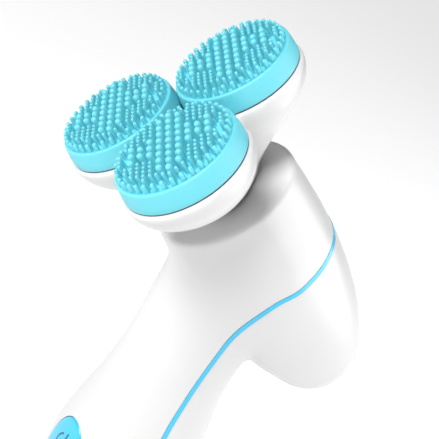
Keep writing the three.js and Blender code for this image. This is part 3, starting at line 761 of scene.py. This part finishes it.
BUTTON_EDGE = 0.55      # rounding of the face's edge
BUTTON_DEPTH = 4.0
SYMBOL_RADIUS = 3.6
SYMBOL_MIDDLE = 4.6     # above the button's centre
SYMBOL_BAR = (0.9, 4.8)  # from the symbol's middle
SYMBOL_OPENING = math.radians(34)
SYMBOL_HALF_LINE = 0.3
SYMBOL_SINK = 0.1
SYMBOL_RAISED = 0.06


def on_button_axes(side, depth, z):
    """A point given by how far it is to the button's side and how deep it is along its press."""
    return side * PRESS_SIDE + depth * PRESS + np.array([0.0, 0.0, z])


def grip_face(side, z, out):
    """The point of the grip's surface that is to the side of the button's middle line, moved outwards."""
    profile = spline(HANDLE_BALLS, 20)
    radius = np.interp(z, profile[:, 0], profile[:, 1]) + out
    from_axis = side * PRESS_SIDE - np.array([0.0, handle_axis_y(z), 0.0])
    along = from_axis @ PRESS
    depth = -along - math.sqrt(along**2 - from_axis @ from_axis + radius**2)
    return on_button_axes(side, depth, z)


def build_button():
    segments = 96
    # [share of the oval's size, depth below the face]: the face, its rounded edge, then the side.
    rows = [(share, 0.0) for share in (0.12, 0.3, 0.5, 0.7, 0.84, 0.92)]
    for part in np.linspace(0.15, 1, 6):
        angle = part * math.pi / 2
        inward = BUTTON_EDGE / BUTTON_HALF[0] * (1 - math.sin(angle))
        rows.append((1 - inward, BUTTON_EDGE * (1 - math.cos(angle))))
    rows += [(1.0, 2.2), (1.0, BUTTON_DEPTH)]
    points = [grip_face(0, BUTTON_Z, BUTTON_PROUD)]
    for share, depth in rows:
        for a, b in circle(BUTTON_HALF[0] * share, BUTTON_HALF[1] * share, segments):
            points.append(grip_face(a, BUTTON_Z + b, BUTTON_PROUD) + depth * PRESS)
    faces = [[0, 1 + (i + 1) % segments, 1 + i] for i in range(segments)]
    for row in range(len(rows) - 1):
        low = 1 + row * segments
        high = low + segments
        for i in range(segments):
            following = (i + 1) % segments
            faces.append([low + i, low + following, high + following, high + i])
    last = 1 + (len(rows) - 1) * segments
    faces.append([last + i for i in range(segments)])
    button = make_object("power_button_cap", np.array(points), faces)
    correct_normals(button)
    finish_piece(button, turquoise, "button", ["power_button"])


def symbol_line(name, line):
    """A flat raised line on the button's face, along [x, z] points measured from its centre."""
    line = np.array(line)
    tangent = np.gradient(line, axis=0)
    tangent /= np.linalg.norm(tangent, axis=1)[:, None]
    side = np.column_stack([-tangent[:, 1], tangent[:, 0]]) * SYMBOL_HALF_LINE
    edges = []
    for sign, lift in ((1, -SYMBOL_SINK), (1, SYMBOL_RAISED), (-1, SYMBOL_RAISED), (-1, -SYMBOL_SINK)):
        edge = [grip_face(a, BUTTON_Z + b, BUTTON_PROUD + lift) for a, b in line + sign * side]
        edges.append(np.array(edge))
    count = len(line)
    faces = [[k * count for k in range(4)], [k * count - 1 for k in (4, 3, 2, 1)]]
    for k in range(4):
        here = k * count
        beside = (k + 1) % 4 * count
        faces += [[here + i, here + i + 1, beside + i + 1, beside + i] for i in range(count - 1)]
    made = make_object(name, np.vstack(edges), faces)
    correct_normals(made)
    finish_piece(made, symbol_ink, "button", sharp=30)


def build_symbol():
    """A generic power symbol: an open ring with a bar in its opening."""
    angles = np.linspace(SYMBOL_OPENING, TURN - SYMBOL_OPENING, 49)
    arc = [(SYMBOL_RADIUS * math.sin(a), SYMBOL_MIDDLE + SYMBOL_RADIUS * math.cos(a)) for a in angles]
    symbol_line("power_symbol_arc", arc)
    symbol_line("power_symbol_bar", [(0, SYMBOL_MIDDLE + z) for z in np.linspace(*SYMBOL_BAR, 9)])


def build_base_cap():
    """The cap on the flat end, with a collar that goes up inside the handle and a groove for its seal."""
    collar = 17.6
    groove = 16.6
    inside = 15.7
    groove_bottom, groove_top = 8.4, 10.6
    collar_top = 12.0
    floor = 2.2
    corners = [
        (0, 0, 0), (18.2, 0, 0.6), (20.9, 1.0, 2.4), (21.05, CAP_TOP, 0.25), (collar, CAP_TOP, 0.2),
        (collar, groove_bottom, 0.2), (groove, groove_bottom, 0.2), (groove, groove_top, 0.2),
        (collar, groove_top, 0.2), (collar, collar_top, 0.4), (inside, collar_top, 0.4),
        (inside, floor, 0.5), (0, floor, 0),
    ]
    points, faces = lathe(rounded(corners), 128)
    cap = make_object("base_cap_skin", points, faces)
    correct_normals(cap)
    finish_piece(cap, white, "cap", ["base_cap"])


# ---------------------------------------------------------------- camera, floor and light


# Places are in metres here.
CAMERA_PLACE = Vector((0.19095, -0.09785, 0.2264))
CAMERA_DIRECTION = Vector((-0.81809, 0.37834, -0.43313))
CAMERA_ROLL = math.radians(29.109)
CAMERA_LENS = 70.9
CAMERA_SENSOR = 36
FLOOR_HALF = 3000       # millimetres
FLOOR_GREY = 0.36
FLOOR_GLOW = 0.72       # the ground stays white although the lamps are set for the plastic
LAMP_AIM = (0, 0, 0.12)


def build_camera():
    data = bpy.data.cameras.new("camera")
    data.lens = CAMERA_LENS
    data.sensor_width = CAMERA_SENSOR
    camera = bpy.data.objects.new("camera", data)
    bpy.context.scene.collection.objects.link(camera)
    aim = CAMERA_DIRECTION.to_track_quat("-Z", "Y").to_matrix().to_4x4()
    roll = Matrix.Rotation(CAMERA_ROLL, 4, "Z")
    camera.matrix_world = Matrix.Translation(CAMERA_PLACE) @ aim @ roll
    bpy.context.scene.camera = camera


def build_stage():
    corners = [(-1, -1, 0), (1, -1, 0), (1, 1, 0), (-1, 1, 0)]
    floor = make_object("floor", np.array(corners) * FLOOR_HALF, [[0, 1, 2, 3]])
    pale = shader("pale_floor", (FLOOR_GREY, FLOOR_GREY, FLOOR_GREY), 0.8, mottle=0.003)
    surface = pale.node_tree.nodes["Principled BSDF"]
    surface.inputs["Emission Color"].default_value = (1, 1, 1, 1)
    surface.inputs["Emission Strength"].default_value = FLOOR_GLOW
    floor.data.materials.append(pale)


def area_light(name, place, size, power):
    data = bpy.data.lights.new(name, "AREA")
    data.shape = "DISK"
    data.size = size
    data.energy = power
    light = bpy.data.objects.new(name, data)
    light.location = place
    light.rotation_euler = (Vector(LAMP_AIM) - Vector(place)).to_track_quat("-Z", "Y").to_euler()
    bpy.context.scene.collection.objects.link(light)


def build_light():
    world = bpy.data.worlds.new("studio")
    world.use_nodes = True
    background = world.node_tree.nodes["Background"]
    background.inputs["Color"].default_value = (1, 1, 1, 1)
    background.inputs["Strength"].default_value = 0.12
    bpy.context.scene.world = world
    area_light("key", (0.22, -0.58, 0.62), size=0.4, power=8.4)
    area_light("back", (0.16, 0.62, 0.34), size=0.9, power=6.0)
    area_light("camera_side", (0.62, 0.02, 0.08), size=0.7, power=1.5)
    bpy.context.scene.view_settings.view_transform = "Standard"


build_camera()
dress_cad_nodes()
build_shells()
build_carrier()
for pad_number in (1, 2, 3):
    build_pad(pad_number)
build_button()
build_symbol()
build_base_cap()
build_stage()
build_light()
